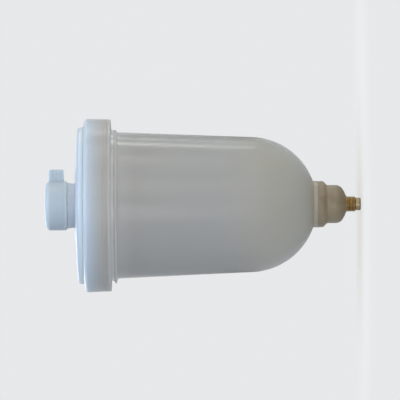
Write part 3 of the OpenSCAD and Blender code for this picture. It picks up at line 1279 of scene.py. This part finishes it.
@dataclass
class OutletCollar(Turned):
    """Ivory adapter: wide ring, chamfer, slim drum and rounded end, with spigot and throat."""

    role: Role = Role("turned_collar", Body.CUP, "outlet_collar", "collar_nylon")
    segments: int = 144
    drum_r: float = 11.8
    ring_r: float = 14.2
    ring_top_r: float = 14.4
    chamfer_z: float = 12.4
    top_z: float = 18.0
    end_z: float = -0.05
    end_corner: float = 5.4
    end_sphere: float = 17.0
    end_rows: int = 8
    corner_rows: int = 16
    spigot_r: float = 8.0
    spigot_z: float = 29.0
    throat_r: float = 6.0
    throat_z: float = 7.5
    bore_r: float = 5.2
    seal_r: float = 10.5
    groove_half: float = 1.1
    groove_depth: float = 1.5

    def corners(self) -> list[Corner]:
        """Section of the collar, from the nipple's bore round the end and up.

        Returns:
            The corners in order.
        """
        swing = self.end_sphere - self.end_corner
        tilt = math.asin((self.drum_r - self.end_corner) / swing)
        middle = self.end_sphere + self.end_z
        centre = (swing * math.sin(tilt), middle - swing * math.cos(tilt))
        start = math.degrees(math.asin(self.bore_r / self.end_sphere)) - 90
        bend = math.degrees(tilt) - 90
        low, high = self.seal_r - self.groove_half, self.seal_r + self.groove_half
        groove_z = self.top_z - self.groove_depth
        return [
            *arc_corners((0, middle), self.end_sphere, start, bend, self.end_rows),
            *arc_corners(centre, self.end_corner, bend, 0, self.corner_rows)[1:],
            Corner(self.drum_r, self.chamfer_z, fillet=0.25),
            Corner(self.ring_r, self.chamfer_z + self.ring_r - self.drum_r, fillet=0.3),
            Corner(self.ring_top_r, self.top_z, fillet=0.25),
            Corner(high, self.top_z), Corner(high, groove_z),
            Corner(low, groove_z), Corner(low, self.top_z),
            Corner(self.spigot_r, self.top_z), Corner(self.spigot_r, self.spigot_z, fillet=0.4),
            Corner(self.throat_r, self.spigot_z, fillet=0.2),
            Corner(self.throat_r, self.throat_z), Corner(self.bore_r, self.throat_z),
        ]


@dataclass
class BrassNipple(Turned):
    """Brass outlet: plain tip, pipe thread, shank and flange."""

    role: Role = Role("turned_nipple", Body.CUP, "brass_nipple", "brass")
    segments: int = 112
    low_z: float = -8.4
    tip_r: float = 3.9
    tip_chamfer: float = 0.5
    thread_low: float = -5.2
    runout: float = 0.25
    crest_r: float = 4.864
    root_r: float = 4.3
    shank_r: float = 5.2
    shank_z: float = 0.45
    flange_r: float = 5.8
    flange_z: float = 8.3
    top_z: float = 10.5
    countersink: float = 1.2
    bore_r: float = 1.95
    pitch: float = 0.907

    def thread(self) -> Thread:
        """The pipe thread, 28 turns an inch, as a ridge on its root cylinder."""
        return Thread(root=self.root_r, depth=self.crest_r - self.root_r, lead=self.pitch,
                      start=self.thread_low, turns=1 - self.thread_low / self.pitch, crest=0.16,
                      base=0.84, fade=0.3, wall=Wall.OUTSIDE)

    def corners(self) -> list[Corner]:
        """Section of the nipple, up the outside and down the bore.

        Returns:
            The corners in order.
        """
        return [
            Corner(self.bore_r + self.tip_chamfer, self.low_z, fillet=0.1),
            Corner(self.tip_r, self.low_z, fillet=1.2, step=0.4),
            Corner(self.tip_r, self.thread_low, fillet=0.1),
            Corner(self.root_r, self.thread_low + self.runout, step=0.055),
            Corner(self.root_r, self.runout), Corner(self.shank_r, self.shank_z),
            Corner(self.shank_r, self.flange_z), Corner(self.flange_r, self.flange_z),
            Corner(self.flange_r, self.top_z, fillet=0.4),
            Corner(self.bore_r + self.countersink, self.top_z),
            Corner(self.bore_r, self.top_z - self.countersink),
            Corner(self.bore_r, self.low_z + self.tip_chamfer),
        ]

    def growth(self, at: Places) -> Array:
        """Change of radius that makes the pipe thread."""
        return self.thread().growth(at)


@dataclass
class StrainerGauze:
    """Woven sleeve of the strainer: upright and hooped wires that pass over and under."""

    role: Role = Role("woven_gauze", Body.STRAINER, "strainer_gauze", "gauze")
    low_z: float = 28.2
    high_z: float = 60.2
    radius: float = 5.12
    wire_r: float = 0.045
    uprights: int = 72
    hoops: int = 72
    sides: int = 4

    def tube(self, path: Array, outward: Array, closed: bool) -> Surface:
        """Thin wires along many paths at once, P + w (cos a N + sin a B) with B square to N.

        Args:
            path: Points of each wire, as wires by points by 3.
            outward: Directions away from the axis, of the same shape.
            closed: True where each wire is a hoop.

        Returns:
            All the wires as one surface.
        """
        ahead = np.roll(path, -1, 1) - np.roll(path, 1, 1)
        if not closed:
            ahead[:, 0] = path[:, 1] - path[:, 0]
            ahead[:, -1] = path[:, -1] - path[:, -2]
        sideways = np.cross(ahead, outward)
        sideways /= np.linalg.norm(sideways, axis=-1, keepdims=True)
        angle = (np.arange(self.sides) * FULL_TURN / self.sides)[:, None]
        ring = outward[:, :, None] * np.cos(angle) + sideways[:, :, None] * np.sin(angle)
        grid = path[:, :, None] + ring * self.wire_r
        wires, points = path.shape[:2]
        offset = np.arange(wires)[:, None] * points * self.sides
        faces = grid_faces(points, self.sides, closed, True)[None] + offset[:, None]
        faces = faces.reshape(-1, 4)
        if not closed:
            first = np.arange(self.sides)[None, :] + offset
            faces = np.vstack([faces, first[:, ::-1], first + (points - 1) * self.sides])
        return Surface(grid.reshape(-1, 3), faces).outwards()

    def build(self, material: Material) -> None:
        """Makes the gauze and dresses it.

        Args:
            material: Its finish.
        """
        turn = np.arange(self.uprights) * FULL_TURN / self.uprights
        height = np.linspace(self.low_z, self.high_z, self.hoops + 1)[:-1]
        sign = (-1.0) ** (np.arange(self.uprights)[:, None] + np.arange(self.hoops)[None, :])
        weave = sign * self.wire_r
        outward = Places(turn, 1.0, 0.0).points()
        upright_out = np.repeat(outward[:, None], self.hoops, 1)
        upright = upright_out * (self.radius + weave)[:, :, None]
        upright[:, :, 2] = height[None, :]
        hoop_out = np.repeat(outward[None], self.hoops, 0)
        hoop = hoop_out * (self.radius - weave.T)[:, :, None]
        hoop[:, :, 2] = height[:, None]
        wires = self.tube(upright, upright_out, False).joined(self.tube(hoop, hoop_out, True))
        dress(self.role.piece(wires), material)


@dataclass
class KeptNodes:
    """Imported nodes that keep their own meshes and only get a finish."""

    nodes: dict[str, Object]

    def build(self, finishes: dict[str, Material]) -> None:
        """Dresses each node.

        Args:
            finishes: Material of each node by the node's name.
        """
        for name, material in finishes.items():
            dress(self.nodes[name], material)
            LOG.info("%s: packed mesh kept", name)


@dataclass
class Studio:
    """Camera at the photograph's angle, soft lamps, pale backdrop and pale floor.

    Attributes:
        px_mm: Real size of one of the photograph's pixels at the object.
        frame_px: Side of the square frame.
        outlet_px: Column of the photograph where height is 0.
        axis_px: Row of the cup's axis at the middle column.
        lean: Angle between the cup's axis and the rows, in degrees.
        distance: From the camera to the axis, in metres.
        sensor_mm: Width of the camera's sensor.
        clip: Nearest and furthest distance that the camera sees, in metres.
        floor_mm: Height of the floor.
        floor_rings: Radii of the floor's rings of points, in millimetres.
        floor_sides: Points of a ring.
        backdrop: Tone of the backdrop.
        world_tone: Tone of the even light.
        world_level: Strength of the even light.
        floor_glow: Tone that the floor near the cup adds for the camera.
        glow_share: Share of that tone; the rest is the lit floor.
        glow_reach: Distances between which the floor turns into the backdrop, in metres.
    """

    px_mm: float = 0.62
    frame_px: float = 400.0
    outlet_px: float = 347.0
    axis_px: float = 204.92
    lean: float = 0.355
    distance: float = 3.2
    sensor_mm: float = 36.0
    clip: tuple[float, float] = (0.05, 40.0)
    floor_mm: float = -8.8
    floor_rings: tuple[float, ...] = (200.0, 600.0, 2000.0, 9000.0)
    floor_sides: int = 96
    backdrop: Colour = (0.80, 0.81, 0.82)
    world_tone: Colour = (0.98, 0.99, 1.0)
    world_level: float = 0.14
    floor_glow: Colour = (0.955, 0.945, 0.925)
    glow_share: float = 0.62
    glow_reach: tuple[float, float] = (0.08, 0.24)

    def camera(self) -> None:
        """Places the camera so that the cup lies across the frame, its lid to the left.

        The photograph's right is -Z and its up is +X, both turned by the lean. The camera looks
        along +Y from far away, so the view is nearly parallel.
        """
        data = bpy.data.cameras.new("photo_camera")
        data.sensor_width = self.sensor_mm
        data.lens = self.sensor_mm * self.distance / (self.frame_px * self.px_mm * MM)
        data.clip_start, data.clip_end = self.clip
        tilt, middle = math.radians(self.lean), self.frame_px / 2
        right = (-math.sin(tilt), 0, -math.cos(tilt))
        up = (math.cos(tilt), 0, -math.sin(tilt))
        x, z = ((px - middle) * self.px_mm * MM for px in (self.axis_px, self.outlet_px))
        bpy.context.scene.camera = aimed("photo_camera", data, (right, up, (0, -1, 0)),
                                         (x, -self.distance, z))

    def lamp(self, name: str, place: Point, aim: Point, size: tuple[float, float], power: float,
             colour: Colour) -> None:
        """Adds a rectangular area lamp.

        Args:
            name: Name of the lamp.
            place: Its centre in metres.
            aim: Point that it faces.
            size: Its width and height in metres.
            power: Its power in watts.
            colour: Its colour.
        """
        data = bpy.data.lights.new(name, "AREA")
        data.shape = "RECTANGLE"
        data.size, data.size_y = size
        data.energy, data.color = power, colour
        away = np.subtract(place, aim)
        away /= np.linalg.norm(away)
        side = np.cross((0, 0, 1), away)
        side /= np.linalg.norm(side)
        aimed(name, data, (side, np.cross(away, side), away), place)

    def around(self, degrees: float, height: float, distance: float = 1.7) -> Point:
        """A place round the cup, turned from the camera's side towards the tab's side."""
        turn = math.radians(degrees)
        return distance * math.sin(turn), -distance * math.cos(turn), height

    def lamps(self) -> None:
        """Cool lamps over the lid, soft front and tab-side lamps, limb strips and a back lamp."""
        middle, lid = (0, 0, 0.1), (0, 0, 0.16)
        broad, narrow = (0.7, 0.7), (0.05, 0.9)
        self.lamp("over_lid", (0.05, -0.12, 1.0), lid, (0.35, 0.35), 3.0, (0.56, 0.78, 1.0))
        self.lamp("key", (0.1, -0.45, 0.85), lid, broad, 2.2, (0.81, 0.90, 1.0))
        self.lamp("lid_fill", self.around(-48, 0.65, 1.4), lid, (0.5, 0.5), 1.3, (0.68, 0.85, 1.0))
        self.lamp("front", self.around(-12, 0.37), middle, broad, 5.7, (1.0, 0.985, 0.965))
        self.lamp("front_tab_side", self.around(30, 0.37), middle, broad, 3.9, (1.0, 0.89, 0.70))
        self.lamp("tab_side", self.around(75, 0.37), middle, (0.6, 0.6), 4.4, (1.0, 0.96, 0.83))
        self.lamp("limb_strip", (0.85, 0.72, 0.1), middle, narrow, 0.6, (0.90, 0.93, 1.0))
        self.lamp("side_strip", (1.02, 0.43, 0.1), middle, narrow, 1.9, (1.0, 1.0, 0.92))
        self.lamp("back", (-0.3, 1.2, 0.9), middle, (0.8, 0.8), 6.2, (1.0, 0.99, 0.97))

    def world(self) -> None:
        """Even light at a plain level; sight, mirrors and glass meet the pale backdrop."""
        world = bpy.data.worlds.new("studio")
        bpy.context.scene.world = world
        tree = NodeTree(world, "OutputWorld")
        rays = tree.add("LightPath").outputs
        seen = rays["Is Camera Ray"]
        for kind in ("Is Transmission Ray", "Is Glossy Ray"):
            seen = tree.fed("Math", (seen, rays[kind]), operation="MAXIMUM")
        light = tree.add("Background", Color=self.world_tone, Strength=self.world_level)
        sight = tree.add("Background", Color=self.backdrop)
        tree.finish(tree.fed("MixShader", (seen, light.outputs[0], sight.outputs[0])))

    def floor_material(self) -> Material:
        """Pale matt floor that takes a soft shadow and turns into the backdrop's tone further out.

        What the camera sees is a glow with a share of the lit paper over it, so that the open
        floor has the backdrop's tone and the object's shadow stays.

        Returns:
            The material.
        """
        tree = NodeTree(bpy.data.materials.new("pale_floor"))
        far = tree.add("VectorMath", {"operation": "LENGTH"}, Vector=tree.place())
        seen = tree.add("LightPath").outputs["Is Camera Ray"]
        paper = tree.add("BsdfDiffuse", Color=self.backdrop, Roughness=0.5).outputs[0]
        close, distant = (tree.add("Emission", Color=tone, Strength=1.0).outputs[0]
                          for tone in (self.floor_glow, self.backdrop))
        share = tree.number(seen, 0.0, self.glow_share)
        lit = tree.fed("MixShader", (share, paper, close))
        beyond = tree.ramp(far.outputs["Value"], *self.glow_reach)
        away = tree.fed("Math", (beyond, seen), operation="MULTIPLY")
        return tree.finish(tree.fed("MixShader", (away, lit, distant)))

    def floor(self) -> None:
        """Round pale floor just under the outlet, rings of points with a fan in their middle."""
        ring = np.arange(self.floor_sides)
        turn, radii = ring * FULL_TURN / self.floor_sides, np.array(self.floor_rings)[:, None]
        outer = Places(turn, radii, self.floor_mm).points().reshape(-1, 3)
        faces = np.vstack([grid_faces(len(radii), self.floor_sides, False, True),
                           fans(ring, len(outer))])
        vertices = np.vstack([outer, [0, 0, self.floor_mm]])
        floor = mesh_object("floor", Surface(vertices, faces), smooth=False)
        dress(floor, self.floor_material())

    def build(self) -> None:
        """Sets the stage."""
        bpy.context.scene.view_settings.view_transform = "Standard"
        self.camera()
        self.lamps()
        self.world()
        self.floor()


def finishes() -> dict[str, Material]:
    """Builds every finish once.

    Returns:
        Materials by the name of their finish.
    """
    made = [
        # cup_nylon: the cream at the boss is partly the thick boss's own tone and partly painted
        # warm light; the thin bright and dark bands at the neck are a painted highlight, painted
        # shade and painted light under the lid's skirt, where shade falls.
        MilkyNylon("cup_nylon", (0.50, 0.45, 0.37), (
            ToneAndPaintedLightBand(21, 27, (0.505, 0.478, 0.425)), ToneAndPaintedLightBand(38, 85, (0.466, 0.463, 0.460)),
            ToneAndPaintedLightBand(130, 142, (0.535, 0.533, 0.536)), ToneAndPaintedLightBand(141.9, 142.6, (0.68, 0.665, 0.66)),
            ToneAndPaintedLightBand(142.7, 143.6, (0.44, 0.433, 0.43)), ToneAndPaintedLightBand(143.8, 144.8, (0.81, 0.80, 0.80)),
            ToneAndPaintedLightBand(147.3, 149.0, (0.50, 0.50, 0.50)),
        ), cloud=(0.52, 0.52, 0.52), depth_mm=4.5, gloss=0.20, dull=0.26),
        # lid_nylon: the blue of the upper skirt, shoulder, crown and tower is painted cool light;
        # the thin bright bands on the shoulder and at the bead are a painted highlight and painted
        # light where shade falls; the thin dark bands at the skirt's foot and on the crown's side
        # are painted shade.
        MilkyNylon("lid_nylon", (0.52, 0.50, 0.47), (
            ToneAndPaintedLightBand(146.5, 147.3, (0.435, 0.42, 0.40)), ToneAndPaintedLightBand(148.6, 151.5, (0.485, 0.475, 0.465)),
            ToneAndPaintedLightBand(150, 161, (0.57, 0.65, 0.755)), ToneAndPaintedLightBand(161, 162.4, (0.50, 0.575, 0.70)),
            ToneAndPaintedLightBand(162.9, 163.8, (0.73, 0.84, 1.0)), ToneAndPaintedLightBand(164.9, 166.2, (0.45, 0.53, 0.76)),
            ToneAndPaintedLightBand(166.5, 167.1, (0.54, 0.59, 0.66)), ToneAndPaintedLightBand(168.6, 170.0, (0.60, 0.68, 0.84)),
            ToneAndPaintedLightBand(172.3, 173.1, (0.83, 0.94, 1.0)),
        ), cloud=(0.66, 0.70, 0.75), depth_mm=8.0, gloss=0.30, dull=0.38),
        # cap_nylon: the bluish tint is painted cool light, and the paler mouth below 174 mm is
        # painted light where the shade of the gap over the bead falls.
        MilkyNylon("cap_nylon", (0.70, 0.78, 0.87), (ToneAndPaintedLightBand(174.0, 175.0, (0.535, 0.615, 0.695)),),
                   cloud=(0.62, 0.68, 0.75), depth_mm=4.0, gloss=0.40, dull=0.50),
        SolidNylon("ivory_nylon", (0.36, 0.292, 0.203), stain=(0.29, 0.234, 0.153),
                   roughness=0.42, marks=900, mark_mm=0.006, depth_mm=1.2),
        SolidNylon("white_nylon", (0.66, 0.66, 0.63), stain=(0.56, 0.55, 0.50),
                   roughness=0.45, marks=700, mark_mm=0.004, depth_mm=1.4),
        Brass("brass", (0.53, 0.37, 0.165), tarnish=(0.235, 0.145, 0.058),
              worn=(0.31, 0.255, 0.165), root_mm=4.35, crest_mm=4.75, tip_mm=(-5.45, -5.15)),
        Rubber("black_rubber", (0.02, 0.02, 0.021), bloom=(0.06, 0.06, 0.06), roughness=0.55),
        Rubber("white_seal", (0.74, 0.74, 0.71), bloom=(0.64, 0.63, 0.59), roughness=0.62),
        Rubber("gauze_nylon", (0.66, 0.68, 0.70), bloom=(0.55, 0.56, 0.57), roughness=0.5),
    ]
    return {finish.name: finish.material() for finish in made}


def main() -> None:
    """Loads the frame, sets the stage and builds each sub-assembly in order."""
    logging.basicConfig(level=logging.INFO, format="%(message)s")
    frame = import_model()
    Studio().build()
    skins = finishes()
    CupShell().build(skins["cup_nylon"])
    OutletCollar().build(skins["ivory_nylon"])
    BrassNipple().build(skins["brass"])
    StrainerGauze().build(skins["gauze_nylon"])
    LidShell().build(skins["lid_nylon"])
    VentCap().build(skins["cap_nylon"])
    KeptNodes(frame["nodes"]).build({
        "collar_o_ring": skins["black_rubber"],
        "vent_o_ring": skins["black_rubber"],
        "lock_washer": skins["white_seal"],
        "nipple_washer": skins["white_seal"],
        "lid_gasket": skins["white_seal"],
        "port_disc": skins["white_seal"],
        "lock_ring": skins["white_nylon"],
        "strainer_cage": skins["white_nylon"],
        "drip_tube": skins["white_nylon"],
    })


if __name__ == "__main__":
    main()
